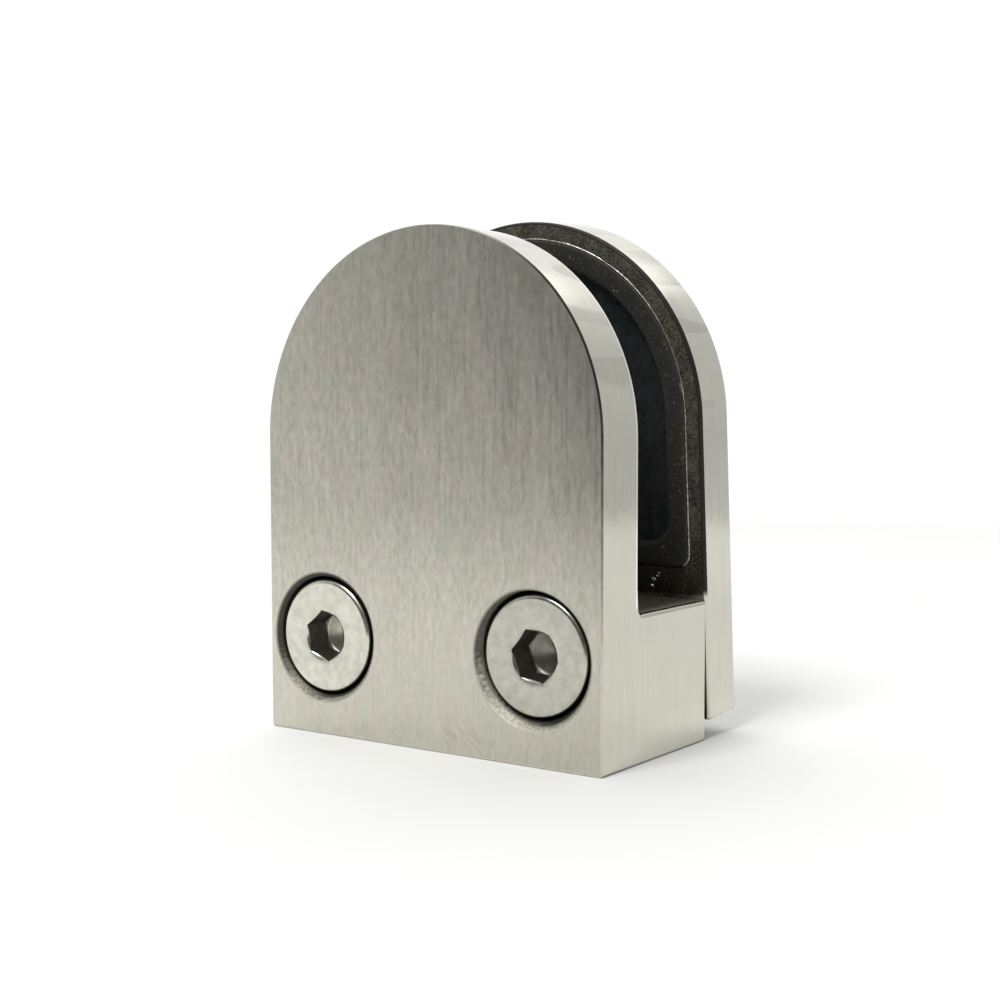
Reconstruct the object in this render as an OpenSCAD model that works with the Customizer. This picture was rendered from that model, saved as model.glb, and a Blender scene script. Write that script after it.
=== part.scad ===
// Glass panel clamp: two arched jaws hold the edge of a glass panel between rubber pads.
// The front jaw carries a base that spaces the jaws, and two socket screws pull the back jaw in.
// Millimetres. The origin is the middle of the face that the clamp stands on, the front jaw faces -Y,
// and the glass drops into the slot from above.

/* [Jaws] */
// Width of both jaws
jaw_w = 40; // [39.5:0.5:46]
// Height of each jaw, from its foot to the top of its arch
jaw_h = 50; // [48:0.5:60]
// Thickness of the front jaw's plate
front_t = 6.3; // [6:0.1:8]
// Thickness of the back jaw
back_t = 5.6; // [5.4:0.1:8]
// Depth of the base, from the front face to the face that meets the back jaw
base_depth = 19.2; // [18:0.1:24]
// Height of the slot's floor, where the glass ends
floor_h = 13.9; // [13.8:0.1:14.6]
// Radius of the fillet where the slot's floor meets the front jaw
root_fillet = 0.8; // [0.4:0.1:1]

/* [Back jaw at rest] */
// Lean of the loose back jaw towards the glass, in degrees
back_lean = 4; // [0:0.5:5]
// Height of the back jaw's foot above the front jaw's
back_rise = 1.8; // [0:0.1:2.4]
// Air between the back jaw and the edge of the base that it leans on
touch_gap = 0.05; // [0.02:0.01:0.2]

/* [Pads and their pockets] */
// Width of the metal rim left around a pocket
rim_w = 1.75; // [1.5:0.05:2.5]
// Height of a pocket's lower edge above its jaw's foot
pocket_foot = 15.2; // [15:0.1:17]
// Depth of a pocket
pocket_depth = 1.4; // [1.2:0.1:1.6]
// Corner radius at the foot of a pocket
pocket_corner = 1.4; // [0.5:0.1:3]
// Play between a pad and the wall of its pocket
pad_play = 0.05; // [0.03:0.01:0.2]
// How far a pad's lip stands out of its jaw
pad_proud = 0.2; // [0.1:0.1:0.6]
// Width of a pad's raised lip
lip_w = 2.15; // [1.5:0.05:3]
// How far the middle of a pad lies below the face of its jaw
pad_sink = 0.7; // [0.4:0.1:0.9]
// Corner radius at the foot of a pad's sunk middle
sink_corner = 2.6; // [1:0.1:4]
// Diameter of the hole in a pad, over the fixing hole
pad_hole_d = 16; // [15.5:0.5:20]

/* [Fixing hole] */
// Diameter of the hole for the screw that fixes the clamp to its post
fixing_d = 8.5; // [6.5:0.5:9]
// Diameter of its countersink, on the floor of the pocket
fixing_sink_d = 14.6; // [11:0.1:15]

/* [Clamp screws] */
// Distance between the bevelled mouths of the two counterbores
screw_spacing = 25.2; // [24:0.1:25.8]
// How far the pair of mouths was cut off the middle of the jaw
screw_offset = -0.18; // [-0.3:0.02:0.3]
// Height of the mouths above the foot
screw_h = 9.8; // [8:0.1:9.8]
// Outer diameter of the screw thread
thread_d = 6; // [5:1:6]
// Length of the threaded shank under the head
shank_len = 20; // [19:0.5:22]
// Diameter of the screw head
head_d = 11.4; // [10:0.1:11.6]
// Height of the screw head
head_h = 4; // [3.5:0.1:5]
// Radius of the rounded edge around the head
head_edge = 0.45; // [0.2:0.05:0.6]
// Depth of the head's face below the front face
head_set = 0.3; // [0.1:0.05:1]
// Width of the hexagon socket across its flats
socket_af = 4.5; // [3.5:0.5:5]
// Depth of the straight part of the socket
socket_depth = 2.8; // [2:0.1:3]
// Diameter of the bevel around the mouth of the socket
socket_mouth_d = 5.1; // [4.6:0.1:6]
// Diameter of the counterbore around a head
counterbore_d = 12; // [12:0.1:12.4]
// Outer diameter of the bevel around the mouth of a counterbore
mouth_d = 13.1; // [12.9:0.1:13.4]
// Diameter of the clearance hole through the base
clearance_d = 6.6; // [6.4:0.1:6.8]
// Radial play of a thread in its tapped hole
thread_play = 0.05; // [0.02:0.01:0.1]

/* [Hidden] */
$fn = 96;
cut = 0.5;
front_y = -base_depth / 2;
base_y = base_depth / 2;
arch_r = jaw_w / 2;
arch_h = jaw_h - arch_r;
seat_depth = head_set + head_h;
tip_bevel = 0.8;
socket_tip = 0.8;
pocket_r = arch_r - rim_w;
pad_r = pocket_r - pad_play;
sink_r = pad_r - lip_w;
// The fixing hole stands at the centre of the arch, and its countersink is a right-angled cone.
fixing_sink = (fixing_sink_d - fixing_d) / 2;
// The back jaw's front face passes through the upper edge of the base.
back_foot_y = base_y + touch_gap + (floor_h - back_rise) * tan(back_lean);
// Each hole and its screw stand a little off the middle of the bevelled mouth: [across, up].
LEFT = 0;
RIGHT = 1;
screw_drift = [[-0.08, 0.12], [0.15, 0.4]];
// The bevel is a right-angled cone, long enough to end inside the counterbore all around.
mouth_len = 1.2;
// Turn of each hexagon socket
socket_turn = [20, 8];
steel = [0.74, 0.74, 0.71];
bright_steel = [0.84, 0.84, 0.81];
black_rubber = [0.09, 0.09, 0.09];

function side(i) = i == LEFT ? -1 : 1;
function mouth_x(i) = screw_offset + side(i) * screw_spacing / 2;
function screw_x(i) = mouth_x(i) + screw_drift[i][0];
function screw_z(i) = screw_h + screw_drift[i][1];

// ---- Shapes that repeat ----

// Stands a flat outline up as a slab whose front is at y = 0 and whose back is at y = thick.
module slab(thick)
    rotate([90, 0, 0])
    translate([0, 0, -thick])
        linear_extrude(thick)
            children();

// An arch of radius r about the jaw's arch centre, with straight legs down to foot
// and corners of radius corner there.
module arch(r, foot, corner) {
    translate([0, arch_h])
        intersection() {
            circle(r);
            translate([-r, 0])
                square([2 * r, r]);
        }
    translate([-r, foot + corner])
        square([2 * r, arch_h - foot - corner]);
    translate([corner - r, foot])
        square([2 * (r - corner), corner]);
    for (s = [-1, 1])
        translate([s * (r - corner), foot + corner])
            circle(corner);
}

// The outline of a jaw, square at the foot
module jaw_outline() {
    translate([0, arch_h])
        circle(arch_r);
    translate([-arch_r, 0])
        square([jaw_w, arch_h]);
}

// What is cut from a jaw's face for its pad, the face at y = 0 and the metal behind it
module pocket_cutter()
    translate([0, -cut, 0])
    slab(pocket_depth + cut)
        arch(pocket_r, pocket_foot, pocket_corner);

// One pad as moulded, its lip towards -Y and its jaw's face at y = 0
module pad() {
    sink_foot = pocket_foot + pad_play + lip_w;
    difference() {
        translate([0, -pad_proud, 0])
            slab(pad_proud + pocket_depth)
                arch(pad_r, pocket_foot + pad_play, pocket_corner);
        translate([0, -pad_proud - cut, 0])
            slab(pad_proud + pad_sink + cut)
                arch(sink_r, sink_foot, sink_corner);
        translate([0, -cut, arch_h])
            rotate([-90, 0, 0])
                cylinder(d = pad_hole_d, h = pocket_depth + 2 * cut);
    }
}

// Puts what is drawn about the back jaw's foot, upright, into the place where the jaw leans.
module lean_back()
    translate([0, back_foot_y, back_rise])
    rotate([back_lean, 0, 0])
        children();

// Faces what is drawn for the back jaw the other way, on the front jaw's inner face.
module on_front_jaw()
    translate([0, front_y + front_t, 0])
    mirror([0, 1, 0])
        children();

// ---- Sub-parts ----

// Plate and base of the front jaw, one casting, before its holes
module front_casting() {
    translate([0, front_y, 0])
        slab(front_t)
            jaw_outline();
    translate([-arch_r, front_y, 0])
        cube([jaw_w, base_depth, floor_h]);
    // Fillet along the slot's inner corner
    translate([-arch_r, front_y + front_t, floor_h])
    rotate([90, 0, 90])
        linear_extrude(jaw_w)
            difference() {
                square(root_fillet);
                translate([root_fillet, root_fillet])
                    circle(root_fillet);
            }
}

// Counterbore and clearance hole of one clamp screw, with the bevel around their mouth
module screw_passage(i) {
    translate([screw_x(i), front_y, screw_z(i)])
    rotate([-90, 0, 0]) {
        translate([0, 0, -cut])
            cylinder(d = counterbore_d, h = seat_depth + cut);
        cylinder(d = clearance_d, h = base_depth + cut);
    }
    translate([mouth_x(i), front_y - cut, screw_h])
    rotate([-90, 0, 0])
        cylinder(d1 = mouth_d + 2 * cut, d2 = mouth_d - 2 * mouth_len, h = cut + mouth_len);
}

module front_jaw()
    color(steel)
    difference() {
        front_casting();
        on_front_jaw() pocket_cutter();
        for (i = [LEFT, RIGHT])
            screw_passage(i);
    }

// Countersunk hole for the screw that goes into the post
module fixing_hole()
    translate([0, pocket_depth, arch_h])
    rotate([-90, 0, 0]) {
        translate([0, 0, -cut])
            cylinder(d = fixing_d, h = back_t + cut);
        cylinder(d1 = fixing_sink_d, d2 = fixing_d, h = fixing_sink);
    }

// Tapped hole of one clamp screw, at the outer diameter of its thread
module tapped_hole(i)
    translate([screw_x(i), base_y - cut, screw_z(i)])
    rotate([-90, 0, 0])
        cylinder(r = thread_d / 2 + thread_play, h = 2 * back_t);

module back_jaw()
    color(steel)
    difference() {
        lean_back()
            difference() {
                slab(back_t)
                    jaw_outline();
                pocket_cutter();
                fixing_hole();
            }
        for (i = [LEFT, RIGHT])
            tapped_hole(i);
    }

module front_pad()
    color(black_rubber)
    on_front_jaw() pad();

module back_pad()
    color(black_rubber)
    lean_back() pad();

// Half section of a screw, its axis on x = 0 and its head's face on y = 0
module screw_profile() {
    head_r = head_d / 2;
    thread_r = thread_d / 2;
    tip = head_h + shank_len;
    square([head_r - head_edge, head_h]);
    translate([0, head_edge])
        square([head_r, head_h - head_edge]);
    translate([head_r - head_edge, head_edge])
        circle(head_edge, $fn = 32);
    polygon([[0, 0], [thread_r, 0], [thread_r, tip - tip_bevel], [thread_r - tip_bevel, tip], [0, tip]]);
}

// Hexagon socket with a bevelled mouth and a drilled point, opening at z = 0
module socket(turn) {
    corner_d = socket_af / cos(30);
    bevel = (socket_mouth_d - socket_af) / 2 * tan(30);
    rotate([0, 0, turn])
        translate([0, 0, -cut])
            cylinder(d = corner_d, h = socket_depth + cut, $fn = 6);
    cylinder(d1 = socket_mouth_d, d2 = socket_af, h = bevel);
    translate([0, 0, -cut])
        cylinder(d = socket_mouth_d, h = cut);
    translate([0, 0, socket_depth])
        cylinder(d1 = socket_af, d2 = 0, h = socket_tip);
}

module clamp_screw(i)
    color(bright_steel)
    translate([screw_x(i), front_y + head_set, screw_z(i)])
    rotate([-90, 0, 0])
        difference() {
            rotate_extrude()
                screw_profile();
            socket(socket_turn[i]);
        }

module left_screw() clamp_screw(LEFT);
module right_screw() clamp_screw(RIGHT);

front_jaw();
back_jaw();
front_pad();
back_pad();
left_screw();
right_screw();
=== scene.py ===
"""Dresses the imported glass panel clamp: satin castings, rubber pads, socket screws and a small studio."""

import logging
import math
from dataclasses import dataclass, field
from enum import Enum, IntEnum
from typing import Any, Callable, Optional, Sequence, Union

import bmesh
import bpy
from bmesh.types import BMesh, BMVert
from bpy.types import Material, Node, NodeSocket
from mathutils import Matrix, Vector, noise


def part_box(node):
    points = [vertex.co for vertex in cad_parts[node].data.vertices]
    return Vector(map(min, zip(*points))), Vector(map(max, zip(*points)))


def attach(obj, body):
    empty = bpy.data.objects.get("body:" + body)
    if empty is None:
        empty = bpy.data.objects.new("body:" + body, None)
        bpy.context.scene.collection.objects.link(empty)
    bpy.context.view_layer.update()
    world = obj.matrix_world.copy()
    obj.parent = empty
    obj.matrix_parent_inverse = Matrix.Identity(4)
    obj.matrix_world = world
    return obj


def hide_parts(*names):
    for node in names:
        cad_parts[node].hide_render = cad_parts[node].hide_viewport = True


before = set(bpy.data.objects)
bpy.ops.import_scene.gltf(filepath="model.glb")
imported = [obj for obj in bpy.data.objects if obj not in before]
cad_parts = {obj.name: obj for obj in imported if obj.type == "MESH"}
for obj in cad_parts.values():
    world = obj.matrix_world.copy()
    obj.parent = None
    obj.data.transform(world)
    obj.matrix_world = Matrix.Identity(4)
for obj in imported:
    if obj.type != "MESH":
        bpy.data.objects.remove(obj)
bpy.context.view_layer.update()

MM = 0.001
Number = Union[int, float]
Triple = tuple[float, float, float]
Colour = Triple
Point2 = tuple[float, float]
Key = Union[str, int]
Look = dict[Key, Any]
Finishes = Sequence[Material]
log = logging.getLogger("clamp")


# ---- shader maths


class Signal:
    """A shader value that adds Math nodes when it is used in arithmetic."""

    def __init__(self, graph: "Graph", socket: NodeSocket) -> None:
        """Wraps an output socket of the graph's tree."""
        self.graph = graph
        self.socket = socket

    def __add__(self, other: "Operand") -> "Signal":
        """Sum of two values."""
        return self.graph.math("ADD", self, other)

    def __sub__(self, other: "Operand") -> "Signal":
        """Difference of two values."""
        return self.graph.math("SUBTRACT", self, other)

    def __rsub__(self, other: "Operand") -> "Signal":
        """Difference with a plain number on the left."""
        return self.graph.math("SUBTRACT", other, self)

    def __mul__(self, other: "Operand") -> "Signal":
        """Product of two values."""
        return self.graph.math("MULTIPLY", self, other)

    def __truediv__(self, other: "Operand") -> "Signal":
        """Quotient of two values."""
        return self.graph.math("DIVIDE", self, other)

    __radd__ = __add__
    __rmul__ = __mul__

    def step(self, low: float, high: float) -> "Signal":
        """Smooth rise from 0 to 1 while the value goes from low to high, falling where low is the higher."""
        inputs = {"Value": self, "From Min": low, "From Max": high}
        return self.graph.value("ShaderNodeMapRange", {"interpolation_type": "SMOOTHSTEP"}, inputs)

    def swing(self, weight: "Operand") -> "Signal":
        """What a value around 0.5 swings to both sides, weighted."""
        return (self - 0.5) * weight

    def between(self, low: float, first: float, last: float, high: float) -> "Signal":
        """Smooth window that is 1 from first to last, and 0 below low and above high."""
        return self.step(low, first) * self.step(high, last)


Operand = Union[Signal, Number]


class Graph:
    """The node tree of one material or of the world."""

    def __init__(self, tree: bpy.types.NodeTree) -> None:
        """Empties a node tree and keeps it to build in."""
        tree.nodes.clear()
        self.tree = tree

    def node(self, kind: str, settings: Optional[Look] = None, inputs: Optional[Look] = None) -> Node:
        """Adds one node.

        Args:
            kind: the node's type name.
            settings: its properties, set before its sockets; "stops" holds a ramp's (place, colour) pairs.
            inputs: values or links for its sockets, by name or number.

        Returns:
            The new node.
        """
        made = self.tree.nodes.new(kind)
        for name, setting in (settings or {}).items():
            if name == "stops":
                self._fill_ramp(made.color_ramp, setting)
            else:
                setattr(made, name, setting)
        for key, fed in (inputs or {}).items():
            self._feed(made.inputs[key], fed)
        return made

    def value(self, kind: str, settings: Optional[Look], inputs: Look, output: Key = 0) -> Signal:
        """Adds one node and gives one of its outputs, the first where none is named."""
        return Signal(self, self.node(kind, settings, inputs).outputs[output])

    @staticmethod
    def _fill_ramp(ramp: bpy.types.ColorRamp, stops: Sequence[tuple[float, Colour]]) -> None:
        """Sets a ramp's stops.

        Args:
            ramp: the ramp to fill, which holds two stops when new.
            stops: (place, colour) pairs in rising order, at least two.
        """
        while len(ramp.elements) < len(stops):
            ramp.elements.new(1.0)
        for element, (place, colour) in zip(ramp.elements, stops):
            element.position = place
            element.color = (*colour, 1.0)

    def _feed(self, socket: NodeSocket, value: Any) -> None:
        """Links or sets one input.

        Args:
            socket: the input.
            value: a Signal or output socket to link, or a plain value.
        """
        if isinstance(value, Signal):
            value = value.socket
        if isinstance(value, NodeSocket):
            self.tree.links.new(value, socket)
        elif socket.type == "RGBA" and len(value) == 3:
            socket.default_value = (*value, 1.0)
        else:
            socket.default_value = value

    def math(self, operation: str, *values: Operand) -> Signal:
        """Adds a Math node with one to three values."""
        return self.value("ShaderNodeMath", {"operation": operation}, dict(enumerate(values)))

    def vector(self, operation: str, *values: Any) -> Signal:
        """Adds a Vector Math node, whose result is a number for a dot product or a length."""
        output = "Value" if operation in ("DOT_PRODUCT", "LENGTH") else "Vector"
        return self.value("ShaderNodeVectorMath", {"operation": operation}, dict(enumerate(values)), output)

    def place(self) -> Signal:
        """The point's place in the object's own frame, in millimetres."""
        metres = self.value("ShaderNodeTexCoord", None, {}, "Object")
        return self.vector("MULTIPLY", metres, (1 / MM, 1 / MM, 1 / MM))

    def parts(self, vector: Signal) -> tuple[Signal, Signal, Signal]:
        """Splits a vector into x, y and z."""
        made = self.node("ShaderNodeSeparateXYZ", None, {0: vector})
        return tuple(Signal(self, made.outputs[i]) for i in range(3))

    def join(self, x: Operand, y: Operand, z: Operand) -> Signal:
        """Joins three values into a vector."""
        return self.value("ShaderNodeCombineXYZ", None, {0: x, 1: y, 2: z})

    def noise(self, where: Signal, scale: Triple, detail: float = 2.0, rough: float = 0.5) -> Signal:
        """Soft noise around 0.5.

        Args:
            where: the place, in millimetres.
            scale: waves per millimetre along each axis.
            detail: how many finer layers are added.
            rough: how strong each finer layer is.

        Returns:
            The noise value.
        """
        stretched = self.vector("MULTIPLY", where, scale)
        inputs = {"Vector": stretched, "Scale": 1.0, "Detail": detail, "Roughness": rough}
        return self.value("ShaderNodeTexNoise", None, inputs)

    def mix(self, factor: Operand, first: Any, second: Any) -> NodeSocket:
        """Mixes two colours or links to colours: factor 0 gives the first and 1 the second."""
        made = self.node("ShaderNodeMix", {"data_type": "RGBA"}, {0: factor, 6: first, 7: second})
        return made.outputs[2]

    def relief(self, height: Signal, microns: float, normal: Optional[Signal] = None) -> Signal:
        """Turns a height between 0 and 1 into a surface normal.

        Args:
            height: the height.
            microns: the relief's depth.
            normal: the normal that the relief is laid over.

        Returns:
            The bent normal.
        """
        inputs = {"Height": height, "Distance": microns * MM * MM, "Strength": 1.0}
        if normal is not None:
            inputs["Normal"] = normal
        return self.value("ShaderNodeBump", None, inputs)


def toned(colour: Colour, share: float) -> Colour:
    """A colour made darker or lighter, no lighter than white."""
    return tuple(min(1.0, part * share) for part in colour)


# ---- finishes


def metal(colour: NodeSocket, roughness: Signal, normal: Signal, metallic: float = 1.0) -> Look:
    """The inputs that every metal's shader has."""
    return {"Base Color": colour, "Metallic": metallic, "Roughness": roughness, "Normal": normal}


@dataclass(frozen=True)
class Finish:
    """A material in the making, with one Principled shader; each kind lays its own look."""

    name: str

    def dress(self, graph: Graph) -> Look:
        """The shader's inputs, as each kind lays them in the node tree."""
        raise NotImplementedError

    def make(self) -> Material:
        """Builds the material.

        Returns:
            The material.
        """
        made = bpy.data.materials.new(self.name)
        made.use_nodes = True
        graph = Graph(made.node_tree)
        shader = graph.node("ShaderNodeBsdfPrincipled", None, self.dress(graph))
        graph.node("ShaderNodeOutputMaterial", None, {"Surface": shader.outputs[0]})
        return made


@dataclass(frozen=True)
class BrushedSteel(Finish):
    """Satin stainless steel with fine upright brush lines, as on the flat faces."""

    name: str = "brushed_steel"
    colour: Colour = (0.579, 0.579, 0.492)
    warm: Colour = (0.606, 0.574, 0.508)
    darkest: float = 0.81
    lightest: float = 1.32
    arch_from: float = 14.5
    least_painted_shade: float = -0.13
    painted_shade_strength: float = 0.45
    roughness: float = 0.29
    anisotropic: float = 0.5
    line_microns: float = 2.0
    scuff_slant: float = 0.85

    def dress(self, graph: Graph) -> Look:
        """Lays brush lines, soft bands and a few slanting scuffs over the steel, with painted shade and
        reflection.

        Args:
            graph: the node tree.

        Returns:
            The shader's inputs.
        """
        where = graph.place()
        lines = graph.noise(where, (2.3, 2.3, 0.22), 1.5, 0.45)
        grain = graph.noise(where, (2.1, 2.1, 1.05), 1.5, 0.45)
        streaks = graph.noise(where, (0.95, 0.95, 0.13), 1.0)
        nicks = graph.noise(where, (4.5, 4.5, 0.40), 1.0).step(0.66, 0.78)
        bands = graph.noise(where, (0.22, 0.22, 0.06), 2.0)
        warmth = graph.noise(where, (0.55, 0.55, 0.30), 2.0).step(0.35, 0.65)
        turn = {"Vector": where, "Angle": self.scuff_slant}
        slanted = graph.value("ShaderNodeVectorRotate", {"rotation_type": "Y_AXIS"}, turn)
        scuffs = graph.noise(slanted, (3.2, 3.2, 0.1), 1.0).step(0.70, 0.78)
        x, _, z = graph.parts(where)
        # One rubbed spot low on the face, and a face that grows calmer towards its foot.
        rubbed = x.between(0.8, 3.2, 6.0, 8.5) * z.step(4.5, 2.0)
        rubbed = rubbed * graph.noise(slanted, (2.6, 2.6, 0.5), 1.0).step(0.48, 0.62)
        calm = 1 - z.step(16.0, 5.0) * 0.55
        # Painted shade and reflection: darker across the middle, to the right and on the arch's right
        # shoulder.
        dim = z.step(31.0, 23.0) * 0.27 - z.step(20.0, 10.0) * 0.17 + x * 0.0065
        dim = dim + x.step(13.5, 19.5) * z.step(12.0, 19.0) * 0.14
        from_arch = graph.vector("LENGTH", graph.join(x, 0.0, z - SIZES.arch_h))
        shoulder = from_arch.step(self.arch_from, SIZES.arch_r) * x.step(3.0, 12.0) * z.step(22.0, 29.0)
        dim = dim + shoulder * 0.22
        fine = lines.swing(0.7) + grain - 0.5 + streaks.swing(0.35) - nicks * 0.35
        shade = fine * calm + bands.swing(0.4) + 0.51 - rubbed * 0.22
        tones = (self.colour, self.warm)
        cool, warm = (graph.mix(shade, toned(c, self.darkest), toned(c, self.lightest)) for c in tones)
        steel = graph.mix(warmth, cool, warm)
        rough = self.roughness + lines.swing(0.16) + bands.swing(0.10) + scuffs * 0.06
        # The painted shade darkens the steel's colour towards black.
        painted_shade_steel = graph.mix((dim - self.least_painted_shade) * self.painted_shade_strength, steel, (0.0, 0.0, 0.0))
        relief = graph.relief(lines * 0.5 + grain * 0.5, self.line_microns)
        return metal(painted_shade_steel, rough, relief) | {"Anisotropic": self.anisotropic}


@dataclass(frozen=True)
class GroundEdge(Finish):
    """The narrow sides of the jaws, ground along their outline and smoother than the faces."""

    name: str = "ground_edge"
    colour: Colour = (0.622, 0.609, 0.530)
    roughness: float = 0.10
    anisotropic: float = 0.3
    line_microns: float = 0.3
    wave_microns: float = 80.0
    arch_from: float = 29.0
    rim_w: float = 0.55
    painted_highlight_colour: Colour = (0.90, 0.89, 0.83)

    def dress(self, graph: Graph) -> Look:
        """Lays faint lines, a slow waviness, painted reflection and a painted highlight over the steel.

        Args:
            graph: the node tree.

        Returns:
            The shader's inputs.
        """
        where = graph.place()
        lines = graph.noise(where, (0.10, 4.5, 0.10), 3.0, 0.6)
        _, y, z = graph.parts(where)
        on_arch = z.step(self.arch_from, self.arch_from + 6.0)
        # A painted highlight: a light line on the front jaw's edge along the slot, above the slot's floor.
        slot_y = SIZES.front_y + SIZES.front_t
        painted_highlight = y.between(slot_y - self.rim_w, slot_y - self.rim_w + 0.1, -1.0, 0.0)
        painted_highlight = painted_highlight * z.step(SIZES.floor_h + 0.2, SIZES.floor_h + 1.0)
        waves = graph.noise(where, (0.40, 0.03, 0.40), 1.0).swing(on_arch)
        stains = graph.noise(where, (0.5, 0.5, 0.28), 3.0)
        # The grinder's passes on the arch: rougher bands, and light and dark colour bands as painted
        # reflection.
        passes = graph.noise(where, (0.34, 0.04, 0.34), 0.0).step(0.46, 0.49).swing(on_arch)
        shade = lines.swing(0.65) + stains.swing(0.45) + passes * 0.5 + 0.5
        # Painted reflection and shade: light at the foot, darker near the slot's floor, light on the back jaw
        # above it.
        shade = shade + z.step(5.0, 0.0) * 0.65 - z.step(24.0, 18.0) * 0.18
        shade = shade + y.step(8.0, 10.0) * z.between(12.0, 18.0, 25.0, 30.0) * 0.25
        ground = graph.mix(shade, toned(self.colour, 0.84), toned(self.colour, 1.14))
        rough = self.roughness + lines.swing(0.12) + stains.swing(0.10) + passes * 0.05
        relief = graph.relief(lines, self.line_microns, graph.relief(waves, self.wave_microns))
        edge = metal(graph.mix(painted_highlight, ground, self.painted_highlight_colour), rough, relief)
        return edge | {"Anisotropic": self.anisotropic}


@dataclass(frozen=True)
class CastSkin(Finish):
    """The dull, blotchy skin of the casting, left as it came inside the slot."""

    name: str = "cast_skin"
    dark: Colour = (0.035, 0.033, 0.025)
    light: Colour = (0.205, 0.195, 0.148)
    wear_and_painted_light: Colour = (0.42, 0.39, 0.34)
    metallic: float = 0.65
    roughness: float = 0.55
    grain_microns: float = 45.0
    painted_gap_shadow: Colour = (0.008, 0.008, 0.006)

    def dress(self, graph: Graph) -> Look:
        """Lays sand grain and brown-green blotches over the skin, with painted light and painted shade about
        the slot's floor.

        Args:
            graph: the node tree.

        Returns:
            The shader's inputs.
        """
        where = graph.place()
        grain = graph.noise(where, (5.6, 5.6, 5.6), 2.0, 0.6)
        blotch = graph.noise(where, (0.7, 0.7, 0.5), 3.0, 0.6)
        x, _, z = graph.parts(where)
        level = z - SIZES.floor_h
        floor = level.between(-0.6, -0.2, 0.2, 0.5)
        lumps = graph.noise(where, (2.4, 1.5, 2.4), 2.0)
        # Painted shade: darker low on the walls, towards the slot's floor.
        low = level.step(7.0, 1.0) * (1 - floor) * 0.35
        # Painted light: the slot's floor lighter than its walls, with lumpy blotches.
        on_floor = floor * (lumps.swing(2.8) + 0.4)
        shade = grain.swing(2.2) + blotch - 0.5 + 0.45 + on_floor - low
        bare = graph.mix(shade.step(0.0, 1.0), self.dark, self.light)
        # Painted light: the floor lighter still towards the slot's open ends.
        painted_light_end = graph.math("ABSOLUTE", x).step(SIZES.arch_r - 2.2, SIZES.arch_r - 0.3) * floor
        bare = graph.mix(painted_light_end * (0.4 + lumps), bare, self.wear_and_painted_light)
        # Painted shadow: near black below the slot's floor, in the narrow gap beside the base.
        skin = graph.mix(level.step(-0.4, -2.0), bare, self.painted_gap_shadow)
        relief = graph.relief(grain, self.grain_microns)
        return metal(skin, self.roughness + grain.swing(0.3), relief, self.metallic)


@dataclass(frozen=True)
class TurnedSteel(Finish):
    """Bright steel with fine rings about an axis along Y, whose x and z are in millimetres."""

    colour: Colour
    roughness: float
    ring_microns: float
    rings_per_mm: float
    across: bool
    contrast: float = 0.35
    axis: Point2 = (0.0, 0.0)

    def dress(self, graph: Graph) -> Look:
        """Lays tool rings and light handling marks over the steel.

        Args:
            graph: the node tree.

        Returns:
            The shader's inputs.
        """
        where = graph.place()
        centred = graph.vector("SUBTRACT", where, (self.axis[0], 0.0, self.axis[1]))
        x, y, z = graph.parts(centred)
        radius = graph.vector("LENGTH", graph.join(x, 0.0, z))
        along = radius if self.across else y
        rings = graph.noise(graph.join(along, 0.0, 0.0), (self.rings_per_mm, 1.0, 1.0), 3.0, 0.6)
        marks = graph.noise(where, (1.0, 1.0, 1.0), 4.0, 0.65)
        shade = rings.swing(self.contrast) + marks.swing(3.0) + 0.5
        turned = graph.mix(shade, toned(self.colour, 0.84), toned(self.colour, 1.14))
        rough = self.roughness + rings.swing(0.08) + marks.swing(0.16)
        return metal(turned, rough, graph.relief(rings * 0.7 + marks * 0.3, self.ring_microns))


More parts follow.
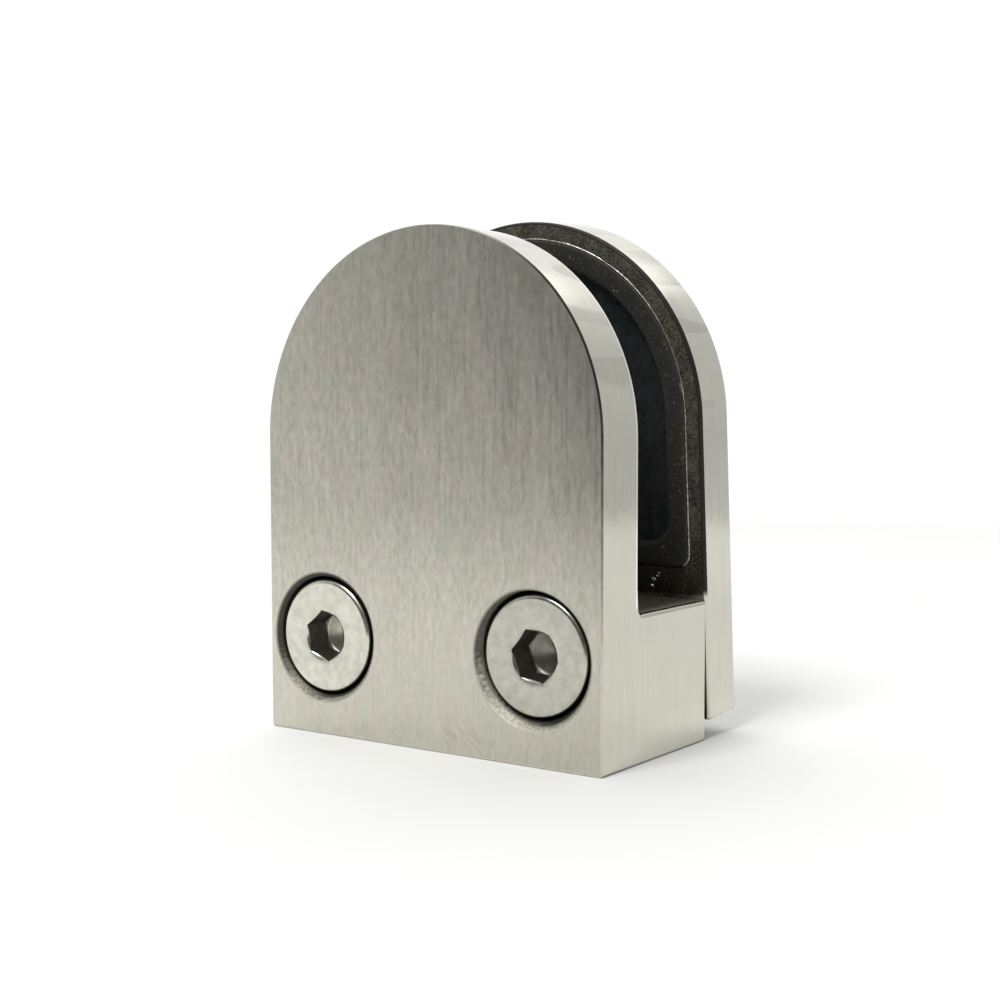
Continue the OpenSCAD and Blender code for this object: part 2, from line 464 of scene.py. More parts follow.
@dataclass(frozen=True)
class BoredSteel(Finish):
    """The screw holes: chattered, with painted light low in the bevelled mouths and painted shade elsewhere.
    """

    name: str = "bored_steel"
    colour: Colour = (0.62, 0.60, 0.49)
    hole_shade: Colour = (0.03, 0.028, 0.022)
    metallic: float = 0.35
    roughness: float = 0.55
    unshaded_to: float = 0.5
    shaded_from: float = 0.95
    grain_microns: float = 40.0
    rim_w: float = 0.15

    def dress(self, graph: Graph) -> Look:
        """Lays rings and chatter marks over the steel, with painted light and painted shade.

        Args:
            graph: the node tree.

        Returns:
            The shader's inputs.
        """
        where = graph.place()
        x, y, z = graph.parts(where)
        across = x - graph.math("SIGN", x) * (SIZES.screw_spacing / 2) - SIZES.screw_offset
        up, mouth_r = z - SIZES.screw_h, SIZES.mouth_d / 2
        radius = graph.vector("LENGTH", graph.join(across, 0.0, up))
        # Painted light low and to the left in each mouth, more of it in the right hole than in the left one.
        right_hole = x.step(-1.0, 1.0)
        low_left = (across * -0.6 + up * -0.8) / mouth_r + right_hole * 0.2 - 0.2
        left = (across / -mouth_r).step(-0.1, 0.6) * (right_hole * 0.12 + 0.07)
        low_right = ((across * 0.75 - up * 0.66) / mouth_r).step(0.3, 0.8)
        rings = graph.noise(where, (0.05, 5.0, 0.05), 2.0)
        chatter = graph.noise(where, (3.4, 1.4, 3.4), 3.0, 0.65)
        # Painted shade: dark from a little behind the front face, deeper in the holes.
        depth = y - SIZES.front_y + chatter.swing(0.8)
        deep = depth.step(self.unshaded_to, self.shaded_from) * y.step(6.0, 2.0)
        lip = radius.step(mouth_r - 0.55, mouth_r - 0.25) * low_right * 0.8
        low = (low_left + chatter.swing(0.4)).step(0.5, 1.0) * (right_hole * 0.25 + 0.75)
        wear_and_painted_light = (low + left + lip) * (1 - deep)
        shade = chatter.swing(2.6) + rings.swing(0.5) + 0.5
        bored = graph.mix(wear_and_painted_light, self.hole_shade, graph.mix(shade, toned(self.colour, 0.35), self.colour))
        # Painted highlight: a light ring at the mouth's edge.
        rim = radius.step(mouth_r - self.rim_w, mouth_r - self.rim_w / 3) * (1 - deep)
        relief = graph.relief(rings * 0.3 + chatter * 0.7, self.grain_microns)
        bored = graph.mix(rim * 0.5, bored, self.colour)
        return metal(bored, self.roughness + chatter.swing(0.3), relief, self.metallic)


@dataclass(frozen=True)
class EdgeBreak(Finish):
    """The broken edges along the jaws' outlines: painted shade high on the right and inside the slot."""

    name: str = "edge_break"
    steel: Colour = (0.62, 0.60, 0.52)
    painted_edge_shade: Colour = (0.014, 0.012, 0.007)
    unshaded_to: float = 6.0
    dark_from: float = 34.0

    def dress(self, graph: Graph) -> Look:
        """Fades the painted shade in with height and to the right, or from the slot's floor up.

        Args:
            graph: the node tree.

        Returns:
            The shader's inputs.
        """
        where = graph.place()
        x, y, z = graph.parts(where)
        patchy = graph.noise(where, (0.9, 0.9, 0.9), 2.0).swing(8.0)
        # Painted shade: near-black edges high on the right arc and along the slot.
        front = (z + patchy).step(self.unshaded_to, self.dark_from) * x.step(1.0, 14.0) * y.step(1.0, 0.0)
        slot = z.step(SIZES.floor_h + 0.2, SIZES.floor_h + 1.0) * y.between(0.0, 1.0, 11.0, 12.0)
        painted_edge_shade = front + slot
        return {
            "Base Color": graph.mix(painted_edge_shade, self.steel, self.painted_edge_shade),
            "Metallic": 1 - painted_edge_shade * 0.7,
            "Roughness": 0.25 + painted_edge_shade * 0.3,
        }


@dataclass(frozen=True)
class BurnishedSteel(Finish):
    """Small bright steel, such as the line where a pocket's edge was struck by the grinder."""

    name: str = "burnished_steel"
    colour: Colour = (0.78, 0.76, 0.68)
    roughness: float = 0.5

    def dress(self, graph: Graph) -> Look:
        """Breaks the shine up with small nicks.

        Args:
            graph: the node tree.

        Returns:
            The shader's inputs.
        """
        nicks = graph.noise(graph.place(), (3.0, 3.0, 3.0), 2.0)
        return {
            "Base Color": graph.mix(nicks.step(0.35, 0.7), toned(self.colour, 0.45), self.colour),
            "Metallic": 1.0,
            "Roughness": self.roughness - nicks * 0.4 * self.roughness,
        }


@dataclass(frozen=True)
class Rubber(Finish):
    """Moulded rubber."""

    colour: Colour
    roughness: float
    grain_microns: float
    dust: float
    dust_colour: Colour = (0.20, 0.19, 0.15)

    def dress(self, graph: Graph) -> Look:
        """Lays a fine grain, a little bloom and specks of dust over the rubber.

        Args:
            graph: the node tree.

        Returns:
            The shader's inputs.
        """
        where = graph.place()
        grain = graph.noise(where, (6.0, 6.0, 6.0), 3.0, 0.6)
        bloom = graph.noise(where, (0.9, 0.9, 0.6), 4.0, 0.65).step(0.35, 0.7)
        pale = tuple(min(1.0, c * 2.2 + 0.004) for c in self.colour)
        dust = graph.noise(where, (5.0, 5.0, 3.2), 1.0).step(0.64, 0.80) * self.dust
        wear_and_painted_light = graph.mix(bloom * 0.45 + 0.1 + grain.swing(0.5), self.colour, pale)
        return {
            "Base Color": graph.mix(dust, wear_and_painted_light, self.dust_colour),
            "Roughness": self.roughness + grain.swing(0.14) + bloom * 0.06,
            "Normal": graph.relief(grain, self.grain_microns),
        }


# ---- mesh helpers


def add_object(name: str, bm: BMesh, finishes: Finishes) -> bpy.types.Object:
    """Turns a finished bmesh into an object in the scene.

    Args:
        name: the piece's name.
        bm: its mesh, in metres, which is freed.
        finishes: the materials that its faces' numbers stand for.

    Returns:
        The object.
    """
    mesh = bpy.data.meshes.new(name)
    bm.to_mesh(mesh)
    bm.free()
    for finish in finishes:
        mesh.materials.append(finish)
    made = bpy.data.objects.new(name, mesh)
    bpy.context.scene.collection.objects.link(made)
    return made


def add_piece(
    name: str, bm: BMesh, finishes: Finishes, body: str, node: Optional[str] = None
) -> bpy.types.Object:
    """Makes a piece of the clamp, its faces turned outward, rides it on a body and lets it stand for a node.

    Args:
        name: the piece's name.
        bm: its mesh, in metres, which is freed.
        finishes: its materials.
        body: the body that it rides on.
        node: the node that it stands for, if any.

    Returns:
        The piece.
    """
    bmesh.ops.recalc_face_normals(bm, faces=bm.faces)
    piece = add_object(name, bm, finishes)
    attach(piece, body)
    if node is not None:
        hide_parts(node)
    log.info("%s rides on %s, %d faces", piece.name, body, len(piece.data.polygons))
    return piece


def loft(
    bm: BMesh,
    rings: Sequence[Sequence[Vector]],
    finish_of: Callable[[int], int] = lambda _: 0,
    closed: bool = False,
) -> list[list[BMVert]]:
    """Joins rings of equal length into a skin.

    Args:
        bm: the mesh to add to.
        rings: the rings' points, in order.
        finish_of: the material number of the strip after each ring.
        closed: whether the last ring joins the first.

    Returns:
        The rings' vertices.
    """
    made = [[bm.verts.new(point) for point in ring] for ring in rings]
    pairs = list(zip(made, made[1:]))
    if closed:
        pairs.append((made[-1], made[0]))
    for number, (low, high) in enumerate(pairs):
        for i in range(len(low)):
            k = (i + 1) % len(low)
            face = bm.faces.new((low[i], low[k], high[k], high[i]))
            face.smooth = True
            face.material_index = finish_of(number)
    return made


def fan(bm: BMesh, ring: Sequence[BMVert], tip: Vector, finish: int) -> None:
    """Closes a ring with triangles that meet at a point.

    Args:
        bm: the mesh to add to.
        ring: the ring's vertices.
        tip: the point.
        finish: the material number.
    """
    centre = bm.verts.new(tip)
    for i, vert in enumerate(ring):
        face = bm.faces.new((vert, ring[(i + 1) % len(ring)], centre))
        face.smooth = True
        face.material_index = finish


def arc(centre: Point2, radius: float, start: float, end: float, steps: int) -> list[Point2]:
    """Points along an arc between two angles in degrees, without the last."""
    angles = [math.radians(start + (end - start) * i / steps) for i in range(steps)]
    return [(centre[0] + radius * math.cos(a), centre[1] + radius * math.sin(a)) for a in angles]


def run(first: Point2, last: Point2, steps: int) -> list[Point2]:
    """Points along a straight stretch, without the last."""
    return [tuple(a + (b - a) * i / steps for a, b in zip(first, last)) for i in range(steps)]


# ---- sizes


def half_width() -> float:
    """Half of the front jaw's width, in millimetres."""
    low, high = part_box("front_jaw")
    return (high[0] - low[0]) / 2 / MM


@dataclass(frozen=True)
class Sizes:
    """The clamp's driving sizes, in millimetres, and what follows from them."""

    arch_r: float = field(default_factory=half_width)
    base_depth: float = 19.2
    arch_h: float = 30.0
    front_t: float = 6.3
    back_t: float = 5.6
    floor_h: float = 13.9
    back_lean: float = 4.0
    back_rise: float = 1.8
    touch_gap: float = 0.05
    rim_w: float = 1.75
    pocket_foot: float = 15.2
    pocket_depth: float = 1.4
    pocket_corner: float = 1.4
    pad_play: float = 0.05
    pad_proud: float = 0.2
    lip_w: float = 2.15
    pad_sink: float = 0.7
    sink_corner: float = 2.6
    pad_hole_d: float = 16.0
    screw_h: float = 9.8
    screw_spacing: float = 25.2
    screw_offset: float = -0.18
    mouth_d: float = 13.1

    @property
    def front_y(self) -> float:
        """Where the front face lies."""
        return -self.base_depth / 2

    @property
    def foot_y(self) -> float:
        """Where the leaning back jaw's front face meets its foot."""
        rise = math.tan(math.radians(self.back_lean))
        return self.base_depth / 2 + self.touch_gap + (self.floor_h - self.back_rise) * rise


SIZES = Sizes()


class Jaw(Enum):
    """The two jaws, each with its body."""

    FRONT = "front"
    BACK = "back"

    def pose(self) -> Matrix:
        """Where the jaw stands.

        Returns:
            The matrix from the jaw's own frame, in millimetres with its inner face at y = 0 and the metal
            behind it, to the clamp's frame in metres.
        """
        scale = Matrix.Scale(MM, 4)
        if self is Jaw.FRONT:
            inner = SIZES.front_y + SIZES.front_t
            return scale @ Matrix.Translation((0, inner, 0)) @ Matrix.Scale(-1, 4, (0, 1, 0))
        lean = Matrix.Rotation(math.radians(SIZES.back_lean), 4, "X")
        return scale @ Matrix.Translation((0, SIZES.foot_y, SIZES.back_rise)) @ lean


def arch_loop(radius: float, foot: float, corner: float) -> list[Point2]:
    """One turn around an arched outline, always with the same number of points.

    Args:
        radius: the arch's radius.
        foot: the height of its lower edge.
        corner: the radius of its lower corners.

    Returns:
        The points (x, z) in millimetres, anticlockwise from the lower right corner.
    """
    top = SIZES.arch_h
    low = foot + corner
    inner = radius - corner
    return (
        arc((inner, low), corner, -90, 0, 8)
        + run((radius, low), (radius, top), 14)
        + arc((0, top), radius, 0, 180, 72)
        + run((-radius, top), (-radius, low), 14)
        + arc((-inner, low), corner, 180, 270, 8)
        + run((-inner, foot), (inner, foot), 22)
    )


# ---- castings


class Skin(IntEnum):
    """The finishes of a casting, in the order of its materials."""

    FACE = 0
    EDGE = 1
    CAST = 2
    BORE = 3
    RIM = 4


@dataclass
class Casting:
    """A jaw as cast and machined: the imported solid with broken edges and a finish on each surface."""

    jaw: Jaw
    finishes: Finishes
    outer_break: float = 0.32
    face_break: float = 0.17
    bore_break: float = 0.06
    cast_break: float = 0.16
    floor_break: float = 0.45
    root_fillet: float = 0.8
    near: float = 0.05
    touching: float = 0.02
    curved_from: float = 0.004
    break_angle: float = math.radians(28.0)
    flat_angle: float = math.radians(0.4)
    edge_segments: int = 3

    @property
    def node(self) -> str:
        """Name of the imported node."""
        return f"{self.jaw.value}_jaw"

    def build(self) -> None:
        """Makes the dressed jaw."""
        bm = self._with_broken_edges(self._flat_faced_copy())
        self._paint(bm)
        piece = add_piece(f"{self.node}_casting", bm, self.finishes, self.jaw.value, self.node)
        piece.modifiers.new("even_normals", "WEIGHTED_NORMAL").weight = 100

    def _flat_faced_copy(self) -> BMesh:
        """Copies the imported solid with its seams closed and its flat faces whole.

        Returns:
            The mesh.
        """
        bm = bmesh.new()
        bm.from_mesh(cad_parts[self.node].data)
        bmesh.ops.remove_doubles(bm, verts=bm.verts, dist=2e-6)
        bmesh.ops.dissolve_limit(bm, angle_limit=self.flat_angle, verts=bm.verts, edges=bm.edges)
        bmesh.ops.recalc_face_normals(bm, faces=bm.faces)
        return bm

    def _with_broken_edges(self, bm: BMesh) -> BMesh:
        """Rounds every sharp edge by a width that suits where it lies.

        Args:
            bm: the jaw's mesh, which is freed.

        Returns:
            The rounded mesh.
        """
        back = self.jaw.pose().inverted()
        weights = bm.edges.layers.float.new("bevel_weight_edge")
        widest = max(self.outer_break, self.floor_break)
        for edge in bm.edges:
            if edge.is_manifold and edge.calc_face_angle() > self.break_angle:
                middle = back @ ((edge.verts[0].co + edge.verts[1].co) / 2)
                edge[weights] = self._break_width(middle) / widest
        sharp = add_object(f"{self.node}_sharp", bm, [])
        bevel = sharp.modifiers.new("broken_edges", "BEVEL")
        bevel.limit_method = "WEIGHT"
        bevel.width = widest * MM
        bevel.segments = self.edge_segments
        bevel.use_clamp_overlap = False
        rounded = bmesh.new()
        rounded.from_object(sharp, bpy.context.evaluated_depsgraph_get())
        bpy.data.objects.remove(sharp)
        return rounded

    def _break_width(self, place: Vector) -> float:
        """Width of the broken edge at a place.

        Args:
            place: the place in the jaw's own frame, in millimetres.

        Returns:
            The width in millimetres.
        """
        if self._outline_gap(place) < self.near:
            up = place.z - SIZES.floor_h
            if self.jaw is Jaw.FRONT and place.y < self.touching and -self.near < up < self.root_fillet:
                share = max(0.0, up / self.root_fillet)
                return self.floor_break + (self.cast_break - self.floor_break) * share
            on_face = self.jaw is Jaw.FRONT and place.y > SIZES.front_t - self.near
            return self.face_break if on_face else self.outer_break
        return self.cast_break if abs(place.y) < self.near else self.bore_break

    def _outline_gap(self, place: Vector) -> float:
        """How far inside the jaw's outline a place in its own frame lies, in millimetres."""
        return min(SIZES.arch_r - math.hypot(place.x, max(0.0, place.z - SIZES.arch_h)), place.z)

    def _paint(self, bm: BMesh) -> None:
        """Gives each face its finish.

        Args:
            bm: the jaw's mesh.
        """
        back = self.jaw.pose().inverted()
        turn = back.to_3x3().normalized()
        for face in bm.faces:
            face.smooth = True
            face.material_index = self._skin(back @ face.calc_center_median(), turn @ face.normal)

    def _skin(self, place: Vector, normal: Vector) -> Skin:
        """Finish of a face.

        Args:
            place: its middle in the jaw's own frame, in millimetres.
            normal: its outward normal there.

        Returns:
            The finish.
        """
        thick = SIZES.front_t if self.jaw is Jaw.FRONT else SIZES.back_t
        if place.y > thick - self.touching and normal.y > 0.99:
            return Skin.FACE
        if self._in_bore(place):
            return Skin.BORE
        if self._outline_gap(place) < self.outer_break + self.near:
            return Skin.RIM if self._on_break(place, thick) else Skin.EDGE
        return Skin.CAST

    def _on_break(self, place: Vector, thick: float) -> bool:
        """Whether a face near the outline lies on a broken edge.

        Args:
            place: its middle in the jaw's own frame, in millimetres.
            thick: the jaw's thickness.

        Returns:
            True on a broken edge.
        """
        near_face = place.y > thick - self.outer_break + self.touching
        near_slot = self.jaw is Jaw.BACK and abs(place.y) < self.outer_break
        return self._outline_gap(place) > self.curved_from and (near_face or near_slot)

    def _in_bore(self, place: Vector) -> bool:
        """Whether a face lies in a screw's hole.

        Args:
            place: its middle in the jaw's own frame, in millimetres.

        Returns:
            True in a hole.
        """
        across = abs(abs(place.x - SIZES.screw_offset) - SIZES.screw_spacing / 2)
        from_axis = math.hypot(across, place.z - SIZES.screw_h)
        return from_axis < SIZES.mouth_d / 2 + self.near and abs(place.y) > self.touching


@dataclass
class PocketBurr:
    """The thin bead of burnished metal along a pocket's edge."""

    jaw: Jaw
    finish: Material
    radius: float = 0.09
    sides: int = 8

    def build(self) -> None:
        """Makes the bead."""
        bm = bmesh.new()
        pose = self.jaw.pose()
        radius = SIZES.arch_r - SIZES.rim_w
        path = arch_loop(radius, SIZES.pocket_foot, SIZES.pocket_corner)
        rings = []
        for i, (x, z) in enumerate(path):
            before, after = path[i - 1], path[(i + 1) % len(path)]
            out = Vector((after[1] - before[1], 0, before[0] - after[0])).normalized()
            thick = self.radius * self._swell(x, z)
            ring = []
            for k in range(self.sides):
                angle = 2 * math.pi * k / self.sides
                offset = out * math.cos(angle) * thick + Vector((0, -1, 0)) * math.sin(angle) * thick
                ring.append(pose @ (Vector((x, -0.01, z)) + offset))
            rings.append(ring)
        loft(bm, rings, closed=True)
        add_piece(f"{self.jaw.value}_pocket_burr", bm, [self.finish], self.jaw.value)

    def _swell(self, x: float, z: float) -> float:
        """How thick the bead is at a point, as a share of its radius.

        Args:
            x: the point's place across the jaw.
            z: its height.

        Returns:
            The share.
        """
        wave = noise.noise(Vector((x * 0.35, z * 0.35, 4.0)))
        nick = noise.noise(Vector((x * 1.7, z * 1.7, 9.0)))
        if z < SIZES.pocket_foot + SIZES.pocket_corner * 0.12:
            return 0.1
        bead = max(0.0, noise.noise(Vector((x * 0.8, z * 0.8, 21.0))) - 0.35)
        return max(0.3, 1.0 + 0.6 * wave + 0.8 * nick + 3.0 * bead)


@dataclass
class CastPips:
    """Little beads of metal left on the back jaw below its pocket."""

    finish: Material
    pips: tuple[Triple, ...] = (
        (14.25, 13.85, 0.27),
        (14.6, 14.2, 0.13),
        (14.8, 14.5, 0.15),
        (14.0, 13.2, 0.20),
    )

    def build(self) -> None:
        """Makes the beads, each given by x, z and radius in the jaw's own frame."""
        bm = bmesh.new()
        pose = Jaw.BACK.pose()
        for x, z, radius in self.pips:
            place = pose @ Matrix.Translation((x, 0.0, z)) @ Matrix.Scale(radius, 4)
            bmesh.ops.create_icosphere(bm, subdivisions=3, radius=1.0, matrix=place)
        for face in bm.faces:
            face.smooth = True
        add_piece("back_cast_pips", bm, [self.finish], Jaw.BACK.value)


# ---- pads


class PadSkin(IntEnum):
    """The finishes of a pad, in the order of its materials."""

    LIP = 0
    MIDDLE = 1


@dataclass
class Pad:
    """A moulded rubber lining with a raised lip, a sunk middle and a hole."""

    jaw: Jaw
    finishes: Finishes
    edge: float = 0.3
    root: float = 0.22
    lip_strips: int = 16

    def build(self) -> None:
        """Makes the pad."""
        bm = bmesh.new()
        pose = self.jaw.pose()
        rings = [[pose @ Vector((x, y, z)) for x, z in loop] for y, loop in self._section()]
        loft(bm, rings, lambda i: PadSkin.LIP if i < self.lip_strips else PadSkin.MIDDLE, closed=True)
        node = f"{self.jaw.value}_pad"
        add_piece(f"{node}_moulding", bm, self.finishes, self.jaw.value, node)

    def _rim(self, inset: float) -> list[Point2]:
        """Outline of the pad, moved in.

        Args:
            inset: how far, in millimetres.

        Returns:
            The outline's points.
        """
        radius = SIZES.arch_r - SIZES.rim_w - SIZES.pad_play - inset
        foot = SIZES.pocket_foot + SIZES.pad_play + inset
        share = min(1.0, inset / SIZES.lip_w)
        corner = SIZES.pocket_corner + (SIZES.sink_corner - SIZES.pocket_corner) * share
        return arch_loop(radius, foot, corner)

    def _hole(self, radius: float) -> list[Point2]:
        """Points around the hole at a radius, one for each point of the outline."""
        turns = [math.atan2(z - SIZES.arch_h, x) for x, z in self._rim(0)]
        return [(radius * math.cos(t), SIZES.arch_h + radius * math.sin(t)) for t in turns]

    def _section(self) -> list[tuple[float, list[Point2]]]:
        """The pad's rings, from its back around the lip to the hole.

        Returns:
            Pairs of depth and outline, the jaw's face at depth 0.
        """
        proud, deep, sink = -SIZES.pad_proud, SIZES.pocket_depth, SIZES.pad_sink
        quarter = [math.radians(a) for a in (0, 18, 36, 54, 72, 90)]
        section = [(deep, self._rim(0.12)), (deep - 0.12, self._rim(0.0))]
        edge = [(proud + self.edge * (1 - math.sin(a)), self.edge * (1 - math.cos(a))) for a in quarter]
        section += [(y, self._rim(inset)) for y, inset in edge]
        section += [(y, self._rim(SIZES.lip_w - inset)) for y, inset in reversed(edge)]
        for a in quarter[1:-1:2]:
            inset = SIZES.lip_w + self.root * (1 - math.cos(a))
            section.append((sink - self.root * (1 - math.sin(a)), self._rim(inset)))
        section.append((sink, self._rim(SIZES.lip_w + self.root + 0.05)))
        hole = ((sink, 0.3), (sink + 0.03, 0.1), (sink + 0.12, 0.0), (deep, 0.0))
        return section + [(y, self._hole(SIZES.pad_hole_d / 2 + wider)) for y, wider in hole]


# ---- screws


class Side(Enum):
    """The two clamp screws."""

    LEFT = "left"
    RIGHT = "right"

    @property
    def node(self) -> str:
        """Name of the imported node."""
        return f"{self.value}_screw"

    def face_centre(self) -> Vector:
        """Middle of the head's face, in metres."""
        low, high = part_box(self.node)
        return Vector(((low[0] + high[0]) / 2, low[1], (low[2] + high[2]) / 2))


class ScrewSkin(IntEnum):
    """The finishes of a screw, in the order of its materials."""

    HEAD = 0
    SOCKET = 1
    THREAD = 2
    DRILLED = 3


# Rings, each with the finish of the strip after it.
Strips = list[tuple[list[Vector], ScrewSkin]]
# One size all round, or what it is at an angle.
Reach = Union[float, Callable[[float], float]]


@dataclass
class ClampScrew:
    """A low-headed socket screw with a rolled M6 thread."""

    side: Side
    finishes: Finishes
    head_d: float = 11.4
    head_h: float = 4.0
    head_edge: float = 0.45
    thread_d: float = 6.0
    core_d: float = 4.9
    pitch: float = 1.0
    shank_len: float = 20.0
    flank_slope: float = 2.9
    crest_flat: float = 0.25
    plain_neck: float = 1.0
    tip_bevel: float = 0.8
    end_gap: float = 0.05
    socket_af: float = 4.5
    socket_depth: float = 2.8
    socket_tip: float = 0.8
    socket_mouth_d: float = 5.1
    steps: int = 144
    rings_per_turn: int = 8
    turns: dict[Side, float] = field(default_factory=lambda: {Side.LEFT: 20.0, Side.RIGHT: 8.0})

    def build(self) -> None:
        """Makes the screw."""
        bm = bmesh.new()
        rings = self._socket_rings() + self._head_rings() + self._thread_rings()
        made = loft(bm, [ring for ring, _ in rings], lambda number: rings[number][1])
        fan(bm, made[0], Vector((0, self.socket_depth + self.socket_tip, 0)), ScrewSkin.DRILLED)
        fan(bm, made[-1], Vector((0, self.head_h + self.shank_len, 0)), ScrewSkin.THREAD)
        pose = Matrix.Translation(self.side.face_centre()) @ Matrix.Scale(MM, 4)
        bmesh.ops.transform(bm, matrix=pose, verts=bm.verts)
        node = self.side.node
        piece = add_piece(f"{node}_turned", bm, self.finishes, node, node)
        piece.modifiers.new("even_normals", "WEIGHTED_NORMAL").weight = 80

    def _ring(self, radius: Reach, depth: Reach) -> list[Vector]:
        """Makes one ring about the screw's axis.

        Args:
            radius: its radius.
            depth: how far behind the head's face it lies.

        Returns:
            The ring's points.
        """
        points = []
        for i in range(self.steps):
            angle = 2 * math.pi * i / self.steps
            reach, y = (size(angle) if callable(size) else size for size in (radius, depth))
            points.append(Vector((reach * math.cos(angle), y, reach * math.sin(angle))))
        return points

    def _hexagon(self, angle: float) -> float:
        """Radius of the socket's wall at an angle."""
        within = (angle + math.radians(self.turns[self.side] + 30)) % math.radians(60) - math.radians(30)
        return self.socket_af / 2 / math.cos(math.radians(30) - abs(within))

    def _socket_rings(self) -> Strips:
        """Rings from the bottom of the socket up to its mouth.

        Returns:
            The strips.
        """
        mouth_r = self.socket_mouth_d / 2
        slope = math.tan(math.radians(30))
        floor, drill, wall = self.socket_depth, self.socket_af / 2 - 0.03, self._hexagon

        def meet(a: float) -> float:
            """Depth of the bevel's foot at an angle, nought at the corners."""
            return max(0.03, (mouth_r - wall(a)) * slope)

        def lip(a: float) -> float:
            """Radius of the socket's edge on the head's face at an angle."""
            return max(mouth_r, wall(a) + 0.03)

        cone = [(drill * share, floor + 0.02 + self.socket_tip * (1 - share)) for share in (0.3, 0.6, 0.85)]
        # Rings a few hundredths of a millimetre apart keep an edge crisp under smooth shading.
        walls = [
            (drill, floor + 0.05),
            (drill + 0.03, floor),
            (lambda a: wall(a) - 0.03, floor - 0.01),
            (wall, floor - 0.04),
            (wall, lambda a: meet(a) + 0.02),
        ]
        mouth = [
            (lambda a: wall(a) + 0.01, lambda a: meet(a) - 0.005),
            (lambda a: lip(a) - 0.01, 0.008),
            (lambda a: lip(a) + 0.02, 0.0),
        ]
        skins = ((cone, ScrewSkin.DRILLED), (walls, ScrewSkin.SOCKET), (mouth, ScrewSkin.HEAD))
        return [(self._ring(*reach), skin) for part, skin in skins for reach in part]

    def _head_rings(self) -> Strips:
        """Rings across the head's face, over its edge and down its side.

        Returns:
            The strips.
        """
        rim, edge = self.head_d / 2, self.head_edge
        profile = [(r, 0.0) for r in (3.2, 4.2, 5.0, rim - edge - 0.04)]
        for a in range(0, 91, 15):
            t = math.radians(a)
            profile.append((rim - edge + edge * math.sin(t), edge - edge * math.cos(t)))
        profile += [(rim, self.head_h - 0.25), (rim - 0.05, self.head_h - 0.08), (rim - 0.2, self.head_h)]
        profile += [(self.thread_d / 2 + 0.3, self.head_h)]
        return [(self._ring(r, y), ScrewSkin.HEAD) for r, y in profile]

    def _thread_radius(self, angle: float, y: float) -> float:
        """Radius of the threaded shank.

        Args:
            angle: the angle about the axis.
            y: the depth behind the head's face.

        Returns:
            The radius.
        """
        crest, core = self.thread_d / 2, self.core_d / 2
        phase = (y / self.pitch - angle / (2 * math.pi)) % 1.0
        flank = min(1.0, max(0.0, abs(phase - 0.5) * self.flank_slope - self.crest_flat))
        grip = min(1.0, max(0.0, y - self.head_h - self.plain_neck))
        bevel = crest - max(0.0, y - (self.head_h + self.shank_len - self.tip_bevel))
        return min(crest - (crest - core) * flank * grip, bevel)

    def _thread_rings(self) -> Strips:
        """Rings along the neck and the helical thread to the bevelled tip.

        Returns:
            The strips.
        """
        rings = []
        length = self.shank_len - 2 * self.end_gap
        count = round(length / self.pitch * self.rings_per_turn)
        for k in range(count + 1):
            y = self.head_h + self.end_gap + length * k / count
            rings.append((self._ring(lambda a, y=y: self._thread_radius(a, y), y), ScrewSkin.THREAD))
        return rings


# ---- studio


@dataclass(frozen=True)
class TableTop(Finish):
    """A matt pale table that fades away towards its edge."""

    name: str = "table"
    near: Colour = (0.89, 0.89, 0.88)
    far: Colour = (0.97, 0.97, 0.96)
    fade_from: float = 260.0
    fade_to: float = 350.0

    def dress(self, graph: Graph) -> Look:
        """Lays the colours and the fade by the distance from the clamp.

        Args:
            graph: the node tree.

        Returns:
            The shader's inputs.
        """
        reach = graph.vector("LENGTH", graph.place())
        return {
            "Base Color": graph.mix(reach.step(60.0, 240.0), self.near, self.far),
            "Roughness": 0.8,
            "Alpha": 1 - reach.step(self.fade_from, self.fade_to),
        }


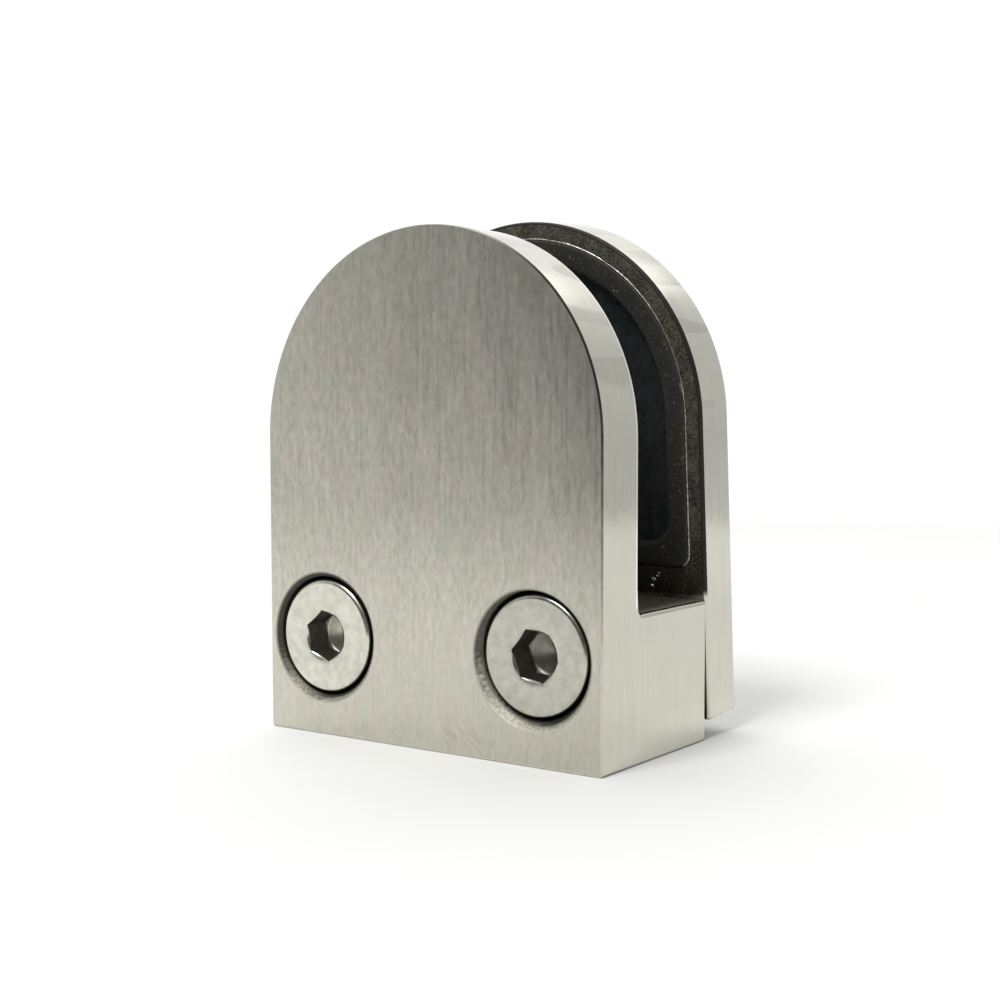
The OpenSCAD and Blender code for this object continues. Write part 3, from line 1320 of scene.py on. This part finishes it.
@dataclass(frozen=True)
class Studio:
    """A pale table that fades into a soft room, one softbox and the camera."""

    table_radius: float = 0.42
    backdrop: Point2 = (-0.50, 0.87)
    ceiling_side: Point2 = (-0.72, 0.69)
    wall_lights: tuple[Point2, ...] = (
        (-1.0, 0.05), (-0.42, 0.10), (-0.30, 0.95), (0.2, 0.70), (0.45, 0.62), (0.65, 0.66), (0.88, 1.05),
    )
    zenith_light: float = 0.32
    plain_light: float = 1.05
    azimuth: float = 35.62
    elevation: float = 3.53
    roll: float = 0.13
    distance: float = 142.16
    target_x: float = 8.98
    target_z: float = 24.33
    lens: float = 55.91
    softbox: Triple = (0.0, -0.50, 0.75)
    softbox_size: float = 0.3
    softbox_watts: float = 4.6
    softbox_aim: Triple = (0.0, 0.0, 0.025)

    def build(self) -> None:
        """Sets up the table, the room, the light and the camera."""
        self._table()
        self._room()
        self._softbox()
        self._camera()

    def _table(self) -> None:
        """Lays the round table top that the clamp stands on."""
        bm = bmesh.new()
        bmesh.ops.create_circle(bm, cap_ends=True, radius=self.table_radius, segments=128)
        add_object("table", bm, [TableTop().make()])

    def _room(self) -> None:
        """Wraps the scene in a room, bright overhead and at the backdrop, and dim behind the viewer."""
        world = bpy.data.worlds.new("room")
        bpy.context.scene.world = world
        world.use_nodes = True
        graph = Graph(world.node_tree)
        towards = graph.value("ShaderNodeTexCoord", None, {}, "Generated")
        x, y, z = graph.parts(towards)
        level = graph.vector("NORMALIZE", graph.join(x, y, 0.0))
        facing = graph.vector("DOT_PRODUCT", level, (*self.backdrop, 0.0))
        walls = graph.node(
            "ShaderNodeValToRGB",
            {"stops": [((place + 1) / 2, (light,) * 3) for place, light in self.wall_lights]},
            {"Fac": facing * 0.5 + 0.5},
        )
        dim = z.step(0.0, 0.2) * facing.step(0.2, -0.3) * 0.5
        walls = graph.mix(dim, walls.outputs["Color"], (0.2, 0.2, 0.2))
        above = z.step(0.53, 0.57)
        zenith = z.step(0.70, 0.86) * self.zenith_light
        behind = graph.vector("DOT_PRODUCT", towards, (*self.ceiling_side, 0.0)).step(0.15, 0.55)
        ceiling = graph.mix(behind, (0.42, 0.42, 0.42), (1.6, 1.6, 1.6))
        seen = graph.value("ShaderNodeLightPath", None, {}, "Is Camera Ray")
        colour = graph.mix(seen, graph.mix(above, walls, ceiling), (self.plain_light,) * 3)
        room = graph.node("ShaderNodeBackground", None, {"Color": colour, "Strength": zenith + 1})
        graph.node("ShaderNodeOutputWorld", None, {"Surface": room.outputs[0]})

    def _softbox(self) -> None:
        """Hangs a square light, its place and aim in metres."""
        lamp = bpy.data.lights.new("key_softbox", "AREA")
        lamp.shape = "SQUARE"
        lamp.size = self.softbox_size
        lamp.energy = self.softbox_watts
        made = bpy.data.objects.new("key_softbox", lamp)
        made.location = self.softbox
        away = Vector(self.softbox) - Vector(self.softbox_aim)
        made.rotation_euler = away.to_track_quat("Z", "Y").to_euler()
        made.visible_camera = False
        bpy.context.scene.collection.objects.link(made)

    def _camera(self) -> None:
        """Places the camera."""
        az, el = math.radians(self.azimuth), math.radians(self.elevation)
        towards = Vector((math.sin(az) * math.cos(el), -math.cos(az) * math.cos(el), math.sin(el)))
        target = Vector((self.target_x, SIZES.front_y, self.target_z))
        data = bpy.data.cameras.new("camera")
        data.lens = self.lens
        data.sensor_width = 36.0
        data.clip_start = 0.01
        data.clip_end = 10.0
        made = bpy.data.objects.new("camera", data)
        made.location = (target + towards * self.distance) * MM
        turn = towards.to_track_quat("Z", "Y").to_matrix() @ Matrix.Rotation(math.radians(-self.roll), 3, "Z")
        made.rotation_euler = turn.to_euler()
        bpy.context.scene.collection.objects.link(made)
        bpy.context.scene.camera = made


# ---- main


def build_castings() -> None:
    """Dresses both jaws."""
    finishes = (BrushedSteel(), GroundEdge(), CastSkin(), BoredSteel(), EdgeBreak())
    skins = [finish.make() for finish in finishes]
    burnished = BurnishedSteel().make()
    for jaw in Jaw:
        Casting(jaw, skins).build()
        PocketBurr(jaw, burnished).build()
    CastPips(BurnishedSteel("bead_steel", (0.95, 0.94, 0.90), 0.14).make()).build()


def build_pads() -> None:
    """Dresses both pads."""
    lip = Rubber("pad_lip_rubber", (0.012, 0.0115, 0.008), 0.66, 30.0, 0.9)
    middle = Rubber("pad_middle_rubber", (0.013, 0.0165, 0.0165), 0.27, 1.0, 0.12)
    for jaw in Jaw:
        Pad(jaw, [lip.make(), middle.make()]).build()


def build_screws() -> None:
    """Dresses both clamp screws."""
    socket = TurnedSteel("socket_steel", (0.22, 0.213, 0.185), 0.38, 8.0, 2.0, False, 0.8)
    thread = TurnedSteel("thread_steel", (0.62, 0.60, 0.55), 0.28, 1.0, 3.0, False)
    for side in Side:
        centre = side.face_centre() / MM
        axis = (centre.x, centre.z)
        # Painted light: the left screw gets a lighter copy of the head and drilled steel than the right one.
        shine, grey = {Side.LEFT: (0.65, 0.52), Side.RIGHT: (0.498, 0.25)}[side]
        cone = (grey, grey * 0.985, grey * 0.85)
        face = (shine, shine * 0.982, shine * 0.86)
        drilled = TurnedSteel(f"{side.value}_drilled_steel", cone, 0.36, 40.0, 1.6, True, 3.0, axis)
        head = TurnedSteel(f"{side.value}_head_steel", face, 0.22, 0.5, 5.0, True, axis=axis)
        ClampScrew(side, [finish.make() for finish in (head, socket, thread, drilled)]).build()


def main() -> None:
    """Builds the dressed clamp and its studio."""
    logging.basicConfig(level=logging.INFO, format="%(name)s: %(message)s")
    build_castings()
    build_pads()
    build_screws()
    Studio().build()
    bpy.context.scene.view_settings.view_transform = "Standard"


if __name__ == "__main__":
    main()
